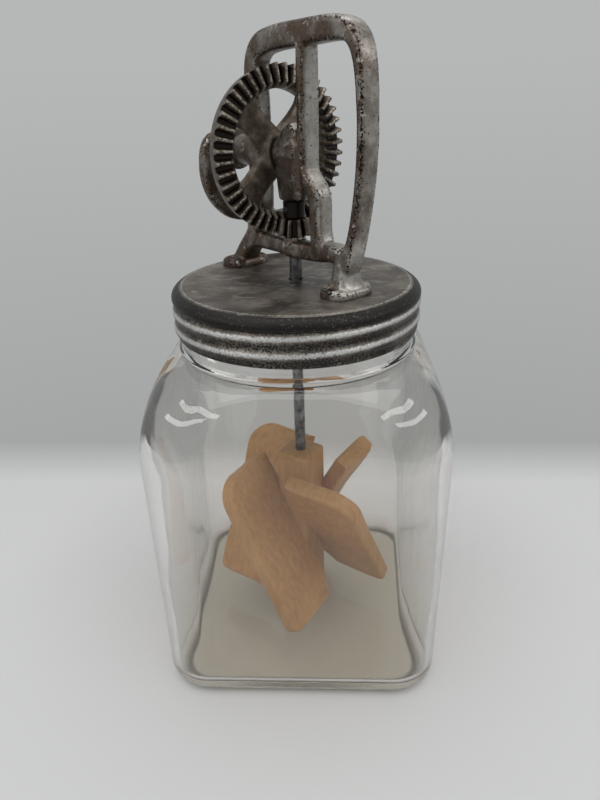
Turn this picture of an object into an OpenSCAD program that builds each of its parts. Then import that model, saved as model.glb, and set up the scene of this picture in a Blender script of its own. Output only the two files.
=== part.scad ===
// Table-top butter churn: a square glass jar with a screw lid, and on the lid a cast frame
// with a hand crank and a bevel gear pair that turns a wooden dasher.
// Millimetres, +Z up, origin at the middle of the jar's base.
// The mechanism is drawn in its own frame, on the lid: X along the crank shaft away from the
// crank, Z up from the lid's top. The lid is then turned on the jar by lid_turn.

/* [Jar] */
// Width of the jar across its flat sides
jar_w = 157; // [145:1:170]
// Corner radius of the jar seen from above
jar_corner_r = 25; // [18:1:34]
// Thickness of the glass walls
jar_wall = 3.8; // [3:0.1:6]
// Thickness of the glass floor
jar_floor = 6; // [4:0.5:9]
// Height at which the sides start to curve in
jar_side_h = 146; // [125:1:170]
// Height of the curved shoulder
shoulder_h = 44; // [34:1:56]
// Height of the neck above the shoulder
neck_h = 33; // [30:1:44]

/* [Lid] */
// Outer diameter of the lid
lid_d = 131; // [126:0.5:136]
// Height of the lid
lid_h = 24; // [20:0.5:26]
// Thickness of the lid's sheet metal
lid_sheet = 0.9; // [0.6:0.1:1.5]
// Angle by which the lid is turned on the jar
lid_turn = -48.7; // [-180:0.1:180]

/* [Frame] */
// Depth of the casting's bars across the shaft
bar_d = 10.4; // [8:0.1:12]
// Thickness of the strap-like arm
arm_t = 4.4; // [3:0.1:7]
// Width of the strap-like arm
arm_w = 11; // [8:0.5:14]
// Place of the arm's outermost part along the shaft
arm_x = 50.6; // [46:0.1:54]
// Thickness of the middle post along the shaft
post_t = 4.6; // [3:0.1:7]
// Place of the middle post along the shaft
middle_post_x = 11.8; // [10:0.1:14]
// Place of the left foot along the shaft
left_foot_x = -46.5; // [-48:0.5:-40]
// Place of the right foot along the shaft
right_foot_x = 38.5; // [36:0.5:45]
// Length of a foot across the shaft
foot_l = 26; // [22:0.5:32]
// Width of a foot along the shaft
foot_w = 17; // [14:0.5:20]
// Height of a foot above the lid
foot_h = 5.2; // [4:0.1:7]
// Distance between the two rivets of one foot
rivet_pitch = 18; // [14:0.5:22]
// Shank diameter of a rivet
rivet_d = 4.8; // [3:0.1:6]
// Middle height of the cross bar above the lid
cross_bar_z = 16.4; // [14:0.1:18]
// Height of the cross bar itself
cross_bar_h = 9.2; // [7:0.1:10]
// Room between the gear and the bar above it
gear_headroom = 4.2; // [2:0.1:8]
// Room between the gear and the left post
post_gap = 6; // [2:0.1:8]
// Length of the left bearing's horn beyond its post
horn_l = 13; // [8:0.5:16]

/* [Gears] */
// Number of teeth on the crank's gear
gear_teeth = 44; // [36:1:52]
// Number of teeth on the rod's pinion
pinion_teeth = 9; // [7:1:10]
// Pitch of the teeth at their large end, in millimetres of diameter for each tooth
tooth_module = 1.75; // [1.5:0.01:2]
// Length of the teeth along the pitch cone
tooth_face = 8.2; // [6:0.1:12]
// Thickness of the gear's rim behind the teeth
gear_rim_t = 5.4; // [4:0.1:7]
// Width of each of the gear's four spokes
spoke_w = 14.5; // [10:0.5:18]
// Thickness of the gear's spokes
spoke_t = 5; // [3.5:0.1:6.5]
// Diameter of the gear's hub
gear_hub_d = 19; // [16:0.5:24]
// Height of the plain hub above the pinion's teeth
pinion_hub_h = 7.6; // [4:0.1:10]
// Diameter of the pinion's hub
pinion_hub_d = 11; // [10:0.1:13]

/* [Crank] */
// Diameter of the crank shaft
shaft_d = 8; // [6:0.1:10]
// Distance from the shaft to the knob's spindle
crank_throw = 72; // [68:1:80]
// Angle of the crank at rest from straight down, towards the back
crank_rest = 42; // [0:1:90]
// Width of the curved crank arm
crank_w = 13.4; // [10:0.1:16]
// Thickness of the curved crank arm
crank_t = 7.6; // [6:0.1:9]
// Largest diameter of the wooden knob
knob_d = 21; // [16:0.5:26]
// Length of the wooden knob
knob_l = 25; // [18:0.5:40]
// Diameter of the knob's spindle
spindle_d = 6; // [4:0.1:8]

/* [Rod and dasher] */
// Diameter of the upright rod
rod_d = 6.35; // [5:0.05:7]
// Angle of the first blade at rest, from the shaft's direction
dasher_turn = 17.6; // [0:0.1:90]
// Height of the blades' lower edge above the table
blade_bottom = 25.5; // [18:0.5:40]
// Height that a blade covers
blade_h = 88; // [60:1:100]
// Reach of a blade from the rod's axis
blade_reach = 49.5; // [36:0.5:50]
// Thickness of a blade
blade_t = 9.4; // [6:0.1:12]
// Lean of a blade from upright
blade_pitch = 29; // [10:1:32]
// Width of the square wooden hub
hub_w = 21; // [18:0.5:26]
// Height of the hub above the blades
hub_over = 6.5; // [5:0.5:20]
// Depth to which a blade sits in the hub
tenon = 4; // [2:0.5:5]

/* [Fits] */
// Radial running clearance of a shaft in its bearing
run_fit = 0.08; // [0.03:0.01:0.1]
// Radial clearance of a piece fixed by its pin
fix_fit = 0.02; // [0.01:0.01:0.04]
// Gap between faces that slide past each other
side_gap = 0.4; // [0.3:0.05:0.6]
// Diameter of the cross pins
pin_d = 3; // [2:0.1:3.5]

/* [Hidden] */
$fn = 48;

// Jar heights and neck
lid_r = lid_d / 2;
bead_proud = 1.5;
neck_gap = 0.8;
neck_r = lid_r - bead_proud - lid_sheet - neck_gap;
neck_bore_r = neck_r - jar_wall;
shoulder_top = jar_side_h + shoulder_h;
rim_z = shoulder_top + neck_h;
lid_top = rim_z + side_gap + lid_sheet;

// Bevel gears: both pitch cones meet where the shaft crosses the rod's axis
gear_r = gear_teeth * tooth_module / 2;
pinion_r = pinion_teeth * tooth_module / 2;
cone_l = norm([gear_r, pinion_r]);
inner_share = 1 - tooth_face / cone_l;
addendum = 0.85 * tooth_module;
dedendum = 1.2 * tooth_module;
pressure_angle = 25;
tooth_share = 0.42;
gear_tip_r = gear_r + addendum * pinion_r / cone_l;
bearing_rise = 1.6;
bearing_top = cross_bar_z + cross_bar_h / 2 + bearing_rise;
shaft_z = bearing_top + side_gap + gear_r;

// Places along the crank shaft
gear_back_x = -(pinion_r + dedendum + gear_rim_t);
gear_front_x = -pinion_r;
left_post_x = gear_back_x - post_gap - bar_d / 2;
left_boss_end_x = left_post_x - bar_d / 2 - horn_l;
shaft_end_x = middle_post_x;
crank_hub_l = 11;
crank_hub_x = left_boss_end_x - side_gap - crank_hub_l;
crank_hub_d = 21;
crank_end_t = 8.5;
crank_end_d = 16;
crank_lid_gap = 3;
crank_end_x = -(lid_r + crank_lid_gap + crank_end_t);
crank_end_y = crank_throw * sin(crank_rest);
crank_end_z = shaft_z - crank_throw * cos(crank_rest);
knob_x = crank_end_x - side_gap - knob_l;
washer_t = 1.2;
washer_d = 2 * spindle_d;
washer_x = knob_x - side_gap - washer_t;
spindle_head_t = 2;

// Heights of the casting
bar_under_z = shaft_z + gear_tip_r + gear_headroom;
bar_z = bar_under_z + bar_d / 2;
low_post_x = middle_post_x + 9.1;
boss_d = 16;
rod_boss_d = 13;
pinion_small_end = shaft_z - gear_r * inner_share;
hub_rise = 0.9;
pinion_top_z = pinion_small_end + hub_rise + pinion_hub_h;
boss_under_z = pinion_top_z + side_gap;
rod_top_gap = 4;
rod_top_z = shaft_z - shaft_d / 2 - rod_top_gap;

// Wooden dasher, with heights above the table
hub_under = 4.5;
hub_bottom = blade_bottom - hub_under;
hub_top = blade_bottom + blade_h + hub_over;
rod_in_hub = 62;
rod_bottom = hub_top - rod_in_hub;
dasher_pin_z = hub_top - hub_over / 2;

// One point between b and c on the smooth curve through a, b, c and d (Catmull-Rom)
function between(a, b, c, d, s) =
    0.5 * (2 * b + (c - a) * s + (2 * a - 5 * b + 4 * c - d) * s * s
           + (3 * b - a - 3 * c + d) * s * s * s);

// The smooth curve through all stations, with some steps from each to the next
function smooth(list, steps) =
    let (last = len(list) - 1)
    [for (i = [0 : last - 1], k = [0 : steps - 1])
         between(list[max(i - 1, 0)], list[i], list[i + 1], list[min(i + 2, last)], k / steps),
     list[last]];

function unit(v) = v / norm(v);
function signed_power(v, p) = sign(v) * pow(abs(v), p);

// Rounded section round a station [x, y, z, half width, half depth]; depth runs along deep
function section(station, along, deep, sides, power) =
    let (side = unit(cross(along, deep)), up = unit(cross(side, along)))
    [for (i = [0 : sides - 1])
         let (a = 360 * (i + 0.5) / sides)
         [station.x, station.y, station.z]
         + side * station[3] * signed_power(cos(a), 2 / power)
         + up * station[4] * signed_power(sin(a), 2 / power)];

function middle(ring) = [for (k = [0 : 2]) let (list = [for (p = ring) p[k]]) (min(list) + max(list)) / 2];

// A solid skinned over rings that all have the same number of points; a closed one joins its
// last ring to its first, and any other is capped at both ends
module skin(rings, closed = false) {
    sides = len(rings[0]);
    count = len(rings);
    points = concat([for (ring = rings, p = ring) p], [middle(rings[0]), middle(rings[count - 1])]);
    start = count * sides;
    walls = [for (i = [0 : count - (closed ? 1 : 2)], j = [0 : sides - 1])
                 let (a = i * sides + j, b = i * sides + (j + 1) % sides,
                      c = (a + sides) % start, d = (b + sides) % start)
                 each [[a, b, c], [b, d, c]]];
    caps = [for (j = [0 : sides - 1])
                let (k = (j + 1) % sides, last = start - sides)
                each [[start, k, j], [start + 1, last + j, last + k]]];
    polyhedron(points, closed ? walls : concat(walls, caps));
}

// A cast bar along a smooth path of stations, with a rounded section
module cast_bar(stations, deep = [0, 1, 0], steps = 2, sides = 16, power = 2.6) {
    path = smooth(stations, steps);
    last = len(path) - 1;
    skin([for (i = [0 : last])
              let (a = path[max(i - 1, 0)], b = path[min(i + 1, last)],
                   along = unit([b.x - a.x, b.y - a.y, b.z - a.z]))
              section(path[i], along, deep, sides, power)]);
}

// Puts a piece of the mechanism on the lid
module on_lid() {
    translate([0, 0, lid_top])
        rotate(lid_turn)
            children();
}

// A cylinder along X
module rod_x(r, x, l) {
    translate([x, 0, 0])
        rotate([0, 90, 0])
            cylinder(r = r, h = l);
}

// Square ring with round corners at height z; a corner radius close to half gives a round ring
function square_ring(half, corner, z, steps) =
    let (c = min(corner, half * 0.985))
    [for (q = [0 : 3], i = [0 : steps])
         let (a = -90 * q - 90 * i / steps, d = -45 - 90 * q)
         [(half - c) * sqrt(2) * cos(d) + c * cos(a), (half - c) * sqrt(2) * sin(d) + c * sin(a), z]];

// Rings of the jar's shoulder, from the side's edge in and up to the neck
function shoulder_rings(half, corner, neck, z, h, steps, turns) =
    [for (k = [0 : turns])
         let (a = 90 * k / turns, s = 1 - cos(a))
         square_ring(neck + (half - neck) * cos(a), corner + (neck - corner) * s, z + h * sin(a), steps)];

module jar() {
    half = jar_w / 2;
    heel = 7;
    steps = 8;
    bead_h = 5;
    inside = half - jar_wall;
    inside_corner = jar_corner_r - jar_wall;
    outer = concat(
        [for (a = [0 : 30 : 90])
             square_ring(half - heel * (1 - sin(a)), jar_corner_r - heel * (1 - sin(a)) * 0.6,
                         heel * (1 - cos(a)), steps)],
        shoulder_rings(half, jar_corner_r, neck_r, jar_side_h, shoulder_h, steps, 8),
        [for (a = [45 : 45 : 180])
             square_ring(neck_r + bead_proud * sin(a), neck_r, shoulder_top + bead_h * a / 180, steps)],
        [square_ring(neck_r, neck_r, rim_z - 1, steps), square_ring(neck_r - 1, neck_r, rim_z, steps)]
    );
    inner = concat(
        [square_ring(neck_bore_r + 1, neck_r, rim_z, steps)],
        [square_ring(neck_bore_r, neck_r, rim_z - 1, steps)],
        [for (k = [6 : -1 : 0])
             shoulder_rings(inside, inside_corner, neck_bore_r, jar_side_h - 1, shoulder_h, steps, 6)[k]],
        [for (a = [90 : -30 : 0])
             square_ring(inside - heel * (1 - sin(a)), inside_corner - heel * (1 - sin(a)) * 0.6,
                         jar_floor + heel * (1 - cos(a)), steps)]
    );
    color("lightcyan", 0.4)
        skin(concat(outer, inner));
}

// Half of the lid's side as points [radius, height under the top], for one face of the sheet
function lid_side(in) =
    let (r = lid_r - in, edge = 3.4, band = 6.6, bead = (lid_h - band) / 2)
    concat(
        [for (a = [90 : -15 : 0]) [r - edge + edge * cos(a), -in - edge + edge * sin(a)]],
        [[r - 0.4, -band]],
        [for (k = [0 : 1], i = [1 : 8])
             [r - bead_proud + bead_proud * sin(180 * i / 8) * 0.95 - 0.2, -band - bead * (k + i / 8)]]
    );

module screw_lid() {
    outside = lid_side(0);
    inside = lid_side(lid_sheet);
    outline = concat([[0, 0]], outside, [for (i = [len(inside) - 1 : -1 : 0]) inside[i]], [[0, -lid_sheet]]);
    color("gray")
        on_lid()
            difference() {
                rotate_extrude($fn = 96)
                    polygon(outline);
                translate([0, 0, -lid_sheet - 1])
                    cylinder(d = rod_d + 1.6, h = lid_sheet + 2);
                at_rivets()
                    cylinder(d = rivet_d + 2 * fix_fit, h = 4 * foot_h, center = true);
            }
}

// Places something at each rivet of both feet
module at_rivets() {
    for (x = [left_foot_x, right_foot_x], side = [-1, 1])
        translate([x, side * rivet_pitch / 2, 0])
            children();
}

// One foot, rounded at toe and heel, with its underside below the lid's top
module foot(x) {
    half = foot_l / 2;
    sink = 1;
    heel = [[0.35, 1], [0.72, 0.9], [0.93, 0.62], [1, 0.32]];
    toe = [for (i = [3 : -1 : 0]) [-heel[i][0], heel[i][1]]];
    cast_bar([for (s = concat(toe, heel))
                  [x, s[0] * half, sink, foot_w / 2 * s[1], (foot_h - sink) * (0.4 + 0.6 * s[1])]],
             deep = [0, 0, 1]);
}

// The outer loop of the casting: left leg and post, top bar, and the arm down to the right leg
module frame_loop() {
    post = bar_d / 2;
    strap = arm_t / 2;
    wide = arm_w / 2;
    low = cross_bar_z;
    cast_bar([
        [left_foot_x + 1, 0, 2.6, post, post + 1.5],
        [left_foot_x + 6, 0, low * 0.62, post - 0.4, post + 0.4],
        [left_post_x - 7, 0, low + 1, post, post],
        [left_post_x - 1.8, 0, low + 11, post, post],
        [left_post_x, 0, shaft_z - 18, post, post],
        [left_post_x, 0, shaft_z + 14, post, post],
        [left_post_x + 0.3, 0, bar_z - 12, post, post],
        [left_post_x + 5.5, 0, bar_z - 3, post, post],
        [left_post_x + 17, 0, bar_z, post, post],
        [middle_post_x, 0, bar_z + 0.8, post, post],
        [arm_x - 18, 0, bar_z + 1.2, post - 0.4, post],
        [arm_x - 7.5, 0, bar_z - 2, strap + 1.6, wide],
        [arm_x - 2.2, 0, bar_z - 12, strap + 0.6, wide],
        [arm_x, 0, bar_z - 32, strap, wide],
        [arm_x, 0, bar_z - 49, strap, wide],
        [arm_x - 1.8, 0, low + 27, strap, wide],
        [arm_x - 5, 0, low + 11, strap + 0.3, wide],
        [right_foot_x + 3.5, 0, low + 1, strap + 1.6, wide],
        [right_foot_x + 1, 0, low - 5, strap + 1.8, wide]
    ]);
}

// The middle post, which steps out below the bearing block and ends on the cross bar
module middle_post() {
    thin = post_t / 2;
    deep = bar_d / 2;
    x = middle_post_x;
    cast_bar([
        [x, 0, bar_z, thin, deep],
        [x, 0, bar_z - 20, thin, deep],
        [x, 0, shaft_z - 4, thin, deep],
        [x + 1.6, 0, shaft_z - 10, thin + 0.4, deep],
        [low_post_x - 1.6, 0, shaft_z - 16, thin + 0.6, deep - 0.4],
        [low_post_x, 0, shaft_z - 23, thin + 0.4, deep - 0.8],
        [low_post_x, 0, cross_bar_z + 12, thin + 0.6, deep - 0.8],
        [low_post_x + 0.8, 0, cross_bar_z + 5, thin + 1.6, deep - 0.8],
        [low_post_x + 2.4, 0, cross_bar_z, thin + 3, deep - 1]
    ]);
}

// The right leg, a neck that widens into the foot
module right_leg() {
    deep = arm_w / 2;
    cast_bar([
        [right_foot_x + 0.5, 0, cross_bar_z + 4, 4.6, deep - 0.5],
        [right_foot_x, 0, cross_bar_z - 3, 4, deep],
        [right_foot_x, 0, cross_bar_z / 2 - 0.6, 4.6, deep + 0.8],
        [right_foot_x, 0, 2.6, 7, deep + 2.5]
    ]);
}

// The low cross bar, swollen where the rod runs through it, which arches over to the right leg
module cross_bar() {
    half = cross_bar_h / 2;
    deep = 4.4;
    cast_bar([
        [left_post_x - 6, 0, cross_bar_z, half, deep],
        [left_post_x + 8, 0, cross_bar_z, half - 0.3, deep],
        [-9, 0, cross_bar_z, half - 0.2, deep],
        [0, 0, cross_bar_z, half, deep + 2],
        [9, 0, cross_bar_z, half, deep + 0.4],
        [low_post_x, 0, cross_bar_z + 0.8, half, deep],
        [(low_post_x + right_foot_x) / 2, 0, cross_bar_z + 2.2, half, deep + 0.4],
        [right_foot_x - 1, 0, cross_bar_z + 1.6, half - 0.4, deep + 0.8]
    ]);
}

// The block that joins both upper bearings to the middle post, with a sloping top
module bearing_block() {
    z0 = boss_under_z + 0.6;
    z1 = shaft_z + boss_d / 2 + 3;
    left = -rod_boss_d / 2;
    half = (middle_post_x - left) / 2;
    x = middle_post_x - half;
    deep = boss_d / 2 - 0.4;
    cast_bar([
        [x, 0, z0, half - 0.4, deep - 1.4],
        [x, 0, z0 + 4, half, deep - 1],
        [x, 0, shaft_z - boss_d / 2, half, deep],
        [x + 0.4, 0, shaft_z, half - 0.4, deep],
        [x + 2, 0, z1 - 4, half - 2, deep - 0.6],
        [x + 5, 0, z1, half - 5, deep - 1.8]
    ], power = 4);
}

// The whole casting before it is bored, flat where its feet stand on the lid
module casting() {
    boss_x = gear_front_x + 0.9;
    boss_end_x = middle_post_x - post_t / 2 + 0.5;
    difference() {
        union() {
            frame_loop();
            middle_post();
            cross_bar();
            right_leg();
            bearing_block();
            foot(left_foot_x);
            foot(right_foot_x);
            translate([0, 0, shaft_z]) {
                rod_x(boss_d / 2, boss_x, boss_end_x - boss_x);
                translate([left_boss_end_x, 0, 0])
                    rotate([0, 90, 0])
                        cylinder(d1 = boss_d - 2, d2 = boss_d + 1, h = left_post_x - left_boss_end_x);
                rod_x(boss_d / 2 + 0.5, left_post_x, gear_back_x - side_gap - left_post_x);
            }
            translate([0, 0, boss_under_z])
                cylinder(d = rod_boss_d, h = shaft_z - boss_under_z);
            translate([0, 0, cross_bar_z])
                cylinder(d = 2 * pinion_r - 4.4, h = bearing_top - cross_bar_z);
        }
        translate([-lid_r, -lid_r, -lid_h])
            cube([lid_d, lid_d, lid_h]);
    }
}

// The casting is one skin, kept at its own size, and its bearings and rivet holes are bored after
module frame() {
    color("dimgray")
        on_lid()
            difference() {
                resize([0, 0, 0])
                    casting($fn = 32);
                translate([0, 0, shaft_z])
                    rod_x(shaft_d / 2 + run_fit, left_boss_end_x - 1,
                          shaft_end_x + side_gap - left_boss_end_x + 1);
                cylinder(r = rod_d / 2 + run_fit, h = rod_top_z + 1);
                at_rivets()
                    cylinder(d = rivet_d + 2 * fix_fit, h = 3 * foot_h);
            }
}

module frame_rivets() {
    head_t = 1.4;
    color("silver")
        on_lid()
            at_rivets() {
                translate([0, 0, -lid_sheet - head_t])
                    cylinder(d1 = rivet_d + 1.6, d2 = rivet_d + 3.6, h = head_t);
                translate([0, 0, -lid_sheet])
                    cylinder(d = rivet_d, h = lid_sheet + foot_h - 1.2);
            }
}

module crank_shaft() {
    l = shaft_end_x - crank_hub_x;
    color("slategray")
        on_lid()
            translate([0, 0, shaft_z])
                difference() {
                    rod_x(shaft_d / 2, crank_hub_x, l);
                    at_gear_pin()
                        cylinder(d = pin_d + 2 * fix_fit, h = 2 * shaft_d, center = true);
                    at_crank_pin()
                        cylinder(d = pin_d + 2 * fix_fit, h = 2 * shaft_d, center = true);
                }
}

// Both cross pins of the shaft stand square to it
module at_gear_pin() {
    translate([(gear_back_x + gear_front_x) / 2 - 1.4, 0, 0])
        rotate([45, 0, 0])
            children();
}

module at_crank_pin() {
    translate([crank_hub_x + crank_hub_l / 2, 0, 0])
        rotate([90, 0, 0])
            children();
}

// Points of one ring of bevel teeth on the gear, at a share of the way from the apex
function gear_ring(share) =
    let (pitch = 360 / gear_teeth, nr = pinion_r / cone_l, nx = gear_r / cone_l,
         lean = tan(pressure_angle) * 180 / PI / gear_r)
    [for (i = [0 : gear_teeth - 1], corner = [[-1, -dedendum], [-1, addendum], [1, addendum], [1, -dedendum]])
         let (h = corner[1], a = (i + 0.5) * pitch - 90 + corner[0] * (pitch * tooth_share / 2 - h * lean),
              r = (gear_r + h * nr) * share)
         [(-pinion_r + h * nx) * share, r * cos(a), r * sin(a)]];

// A plain ring with the teeth's point count
function gear_plain_ring(r, x) =
    let (pitch = 360 / gear_teeth)
    [for (i = [0 : gear_teeth - 1], k = [-0.36, -0.14, 0.14, 0.36])
         let (a = (i + 0.5 + k) * pitch - 90)
         [x, r * cos(a), r * sin(a)]];

// One window between two spokes, with round corners and its outer side on the rim's circle
module gear_window(rim_r) {
    corner = 3;
    near = (spoke_w / 2 + corner) * sqrt(2);
    far = rim_r - corner;
    y = (spoke_w / 2 + corner) / sqrt(2) + sqrt(far * far - pow(spoke_w / 2 + corner, 2)) / sqrt(2);
    x = y - near;
    d = corner / sqrt(2);
    for (p = [[0, near], [x, y], [-x, y]])
        translate(p)
            circle(r = corner);
    polygon([[d, near - d], [x + d, y - d], [x * rim_r / far, y * rim_r / far],
             [-x * rim_r / far, y * rim_r / far], [-x - d, y - d], [-d, near - d]]);
    intersection() {
        circle(r = rim_r);
        polygon([[0, near], [2 * x, near + 2 * (y - near)], [-2 * x, near + 2 * (y - near)]]);
    }
}

module drive_gear() {
    inner_r = gear_r * inner_share;
    rim_r = inner_r - 2.4;
    back_r = gear_r - 1.6;
    root_x = -(pinion_r + dedendum * gear_r / cone_l);
    web_x = gear_back_x + 0.8;
    hub_x = gear_back_x;
    color("saddlebrown")
        on_lid()
            translate([0, 0, shaft_z])
                difference() {
                    union() {
                        skin([gear_plain_ring(rim_r, root_x * inner_share - 1.2),
                              gear_ring(inner_share),
                              gear_ring(1),
                              gear_plain_ring(back_r, gear_back_x),
                              gear_plain_ring(rim_r, gear_back_x)], closed = true);
                        rotate([90, 0, 90])
                            translate([0, 0, web_x])
                                linear_extrude(spoke_t)
                                    difference() {
                                        circle(r = rim_r + 1.5);
                                        for (q = [0 : 3])
                                            rotate(90 * q)
                                                gear_window(rim_r);
                                    }
                        rod_x(gear_hub_d / 2, hub_x, gear_front_x - hub_x);
                    }
                    rod_x(shaft_d / 2 + fix_fit, hub_x - 1, gear_front_x - hub_x + 2);
                    at_gear_pin()
                        cylinder(d = pin_d + 2 * fix_fit, h = 2 * gear_hub_d, center = true);
                }
}

module gear_pin() {
    color("silver")
        on_lid()
            translate([0, 0, shaft_z])
                at_gear_pin()
                    cylinder(d = pin_d, h = gear_hub_d + 1, center = true);
}

// The sickle-shaped arm before it is bored: out from the hub, round below it and away to the knob
module sickle() {
    w = crank_w / 2;
    t = crank_t / 2;
    x0 = crank_hub_x + crank_hub_l / 2;
    x1 = crank_end_x + crank_end_t / 2;
    r = 23;
    cy = 8;
    cz = -9.5;
    cast_bar(concat(
        [[x0, 2, 1, w - 0.6, t + 0.6]],
        [for (a = [150 : 30 : 270])
             [x0 - 2 * (a - 150) / 120, cy + r * cos(a), cz + r * sin(a), w, t]],
        [[x0 + (x1 - x0) * 0.45, cy + 14, cz - r - 2.4, w - 0.5, t],
         [x0 + (x1 - x0) * 0.85, crank_end_y - 12, crank_end_z - shaft_z + 10, w - 1, t],
         [x1, crank_end_y, crank_end_z - shaft_z, w - 1.2, t - 0.2]]),
        deep = [1, 0, 0], steps = 3);
    rod_x(crank_hub_d / 2, crank_hub_x, crank_hub_l);
    translate([0, crank_end_y, crank_end_z - shaft_z])
        rod_x(crank_end_d / 2, crank_end_x, crank_end_t);
}

// The arm is one skin, as the frame is, and its holes are bored after
module crank_arm() {
    color("dimgray")
        on_lid()
            translate([0, 0, shaft_z])
                difference() {
                    resize([0, 0, 0])
                        sickle();
                    rod_x(shaft_d / 2 + fix_fit, crank_hub_x - 9, crank_hub_l + 10);
                    at_crank_pin()
                        cylinder(d = pin_d + 2 * fix_fit, h = 3 * crank_hub_d, center = true);
                    translate([0, crank_end_y, crank_end_z - shaft_z])
                        rod_x(spindle_d / 2 + fix_fit, crank_end_x - 1, crank_end_t + 2);
                }
}

module crank_pin() {
    color("silver")
        on_lid()
            translate([0, 0, shaft_z])
                at_crank_pin()
                    cylinder(d = pin_d, h = crank_hub_d + 1, center = true);
}

// Puts a piece on the knob's axis
module on_spindle() {
    on_lid()
        translate([0, crank_end_y, crank_end_z])
            children();
}

module knob_spindle() {
    color("silver")
        on_spindle() {
            rod_x(spindle_d / 2, washer_x, crank_end_x + crank_end_t - washer_x);
            rod_x(spindle_d / 2 + 1.6, washer_x - spindle_head_t, spindle_head_t);
        }
}

module knob_washer() {
    color("gray")
        on_spindle()
            difference() {
                rod_x(washer_d / 2, washer_x, washer_t);
                rod_x(spindle_d / 2 + fix_fit, washer_x - 1, washer_t + 2);
            }
}

// Turned barrel with a smaller neck next to the crank
module crank_knob() {
    r = knob_d / 2;
    neck = 0.72;
    edge = 0.9;
    profile = [for (i = [0 : 16])
                   let (s = i / 16, belly = neck + (1 - neck) * sin(180 * pow(s, 0.8)))
                   [r * belly - edge * pow(abs(2 * s - 1), 12), knob_l * s]];
    color("sienna")
        on_spindle()
            translate([knob_x, 0, 0])
                rotate([0, 90, 0])
                    difference() {
                        rotate_extrude()
                            polygon(concat([[0, 0]], profile, [[0, knob_l]]));
                        translate([0, 0, -1])
                            cylinder(r = spindle_d / 2 + run_fit, h = knob_l + 2);
                    }
}

module dasher_rod() {
    color("silver")
        difference() {
            translate([0, 0, rod_bottom])
                cylinder(d = rod_d, h = lid_top + rod_top_z - rod_bottom);
            at_pinion_pin()
                cylinder(d = pin_d + 2 * fix_fit, h = 4 * rod_d, center = true);
            at_dasher_pin()
                cylinder(d = pin_d + 2 * fix_fit, h = 4 * rod_d, center = true);
        }
}

module at_pinion_pin() {
    on_lid()
        translate([0, 0, pinion_top_z - pinion_hub_h / 2])
            rotate([90, 0, 0])
                children();
}

module at_dasher_pin() {
    rotate(lid_turn + dasher_turn + 45)
        translate([0, 0, dasher_pin_z])
            rotate([90, 0, 0])
                children();
}

function involute(a) = tan(a) * 180 / PI - a;

// Half the angle that a pinion tooth covers at radius r on its large end
function pinion_half_angle(r) =
    let (base = pinion_r * cos(pressure_angle), a = r > base ? acos(base / r) : 0, foot = max(base - r, 0))
    tooth_share * 180 / pinion_teeth + involute(pressure_angle) - involute(a) + foot;

// Points of one ring of pinion teeth, at a share of the way from the apex
function pinion_ring(share) =
    let (root = pinion_r - dedendum, tip = pinion_r + addendum,
         radii = [root, pinion_r * cos(pressure_angle), pinion_r, tip - 0.5, tip])
    [for (i = [0 : pinion_teeth - 1], side = [-1, 1], k = [0 : 4])
         let (r = radii[side < 0 ? k : 4 - k], a = 180 + i * 360 / pinion_teeth + side * pinion_half_angle(r))
         [r * share * cos(a), r * share * sin(a), shaft_z - gear_r * share]];

module pinion() {
    root_r = (pinion_r - dedendum) * inner_share;
    color("black")
        on_lid()
            difference() {
                union() {
                    skin([pinion_ring(inner_share), pinion_ring(1)]);
                    translate([0, 0, pinion_small_end - 0.2])
                        cylinder(r1 = root_r - 0.15, d2 = pinion_hub_d, h = hub_rise + 0.2);
                    translate([0, 0, pinion_top_z - pinion_hub_h])
                        cylinder(d = pinion_hub_d, h = pinion_hub_h);
                }
                translate([0, 0, shaft_z - gear_r - 1])
                    cylinder(r = rod_d / 2 + fix_fit, h = gear_r);
                translate([0, 0, pinion_top_z - pinion_hub_h / 2])
                    rotate([90, 0, 0])
                        cylinder(d = pin_d + 2 * fix_fit, h = 2 * pinion_hub_d, center = true);
            }
}

module pinion_pin() {
    color("silver")
        at_pinion_pin()
            cylinder(d = pin_d, h = pinion_hub_d + 0.6, center = true);
}

// Turns to the place of one of the four blades
module at_blade(i) {
    rotate(lid_turn + dasher_turn + 90 * i)
        children();
}

// Board of one blade, leaning back at its top; grow widens it for its slot in the hub
module blade_board(grow) {
    slope = blade_h / cos(blade_pitch);
    x0 = hub_w / 2 - tenon - grow;
    w = blade_reach - x0;
    top_r = 15;
    low_r = 5;
    translate([0, 0, blade_bottom + blade_h / 2])
        rotate([blade_pitch + 90, 0, 0])
            translate([0, 0, -blade_t / 2 - grow])
                linear_extrude(blade_t + 2 * grow)
                    union() {
                        translate([x0, -slope / 2 - grow])
                            square([w - top_r, slope + 2 * grow]);
                        translate([x0, -slope / 2 + low_r])
                            square([w, slope - low_r - top_r]);
                        translate([blade_reach - low_r, -slope / 2 + low_r])
                            circle(r = low_r);
                        translate([blade_reach - top_r, -slope / 2])
                            square([top_r - low_r, slope / 2]);
                        translate([blade_reach - top_r, slope / 2 - top_r])
                            circle(r = top_r);
                    }
}

module dasher_blade(i) {
    color("burlywood")
        at_blade(i)
            blade_board(0);
}

module dasher_hub() {
    color("tan")
        difference() {
            at_blade(0)
                translate([-hub_w / 2, -hub_w / 2, hub_bottom])
                    cube([hub_w, hub_w, hub_top - hub_bottom]);
            for (i = [0 : 3])
                at_blade(i)
                    blade_board(fix_fit);
            translate([0, 0, rod_bottom - fix_fit])
                cylinder(r = rod_d / 2 + fix_fit, h = hub_top);
            at_dasher_pin()
                cylinder(d = pin_d + 2 * fix_fit, h = 2 * hub_w, center = true);
        }
}

module dasher_pin() {
    color("silver")
        at_dasher_pin()
            cylinder(d = pin_d, h = hub_w, center = true);
}

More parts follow.
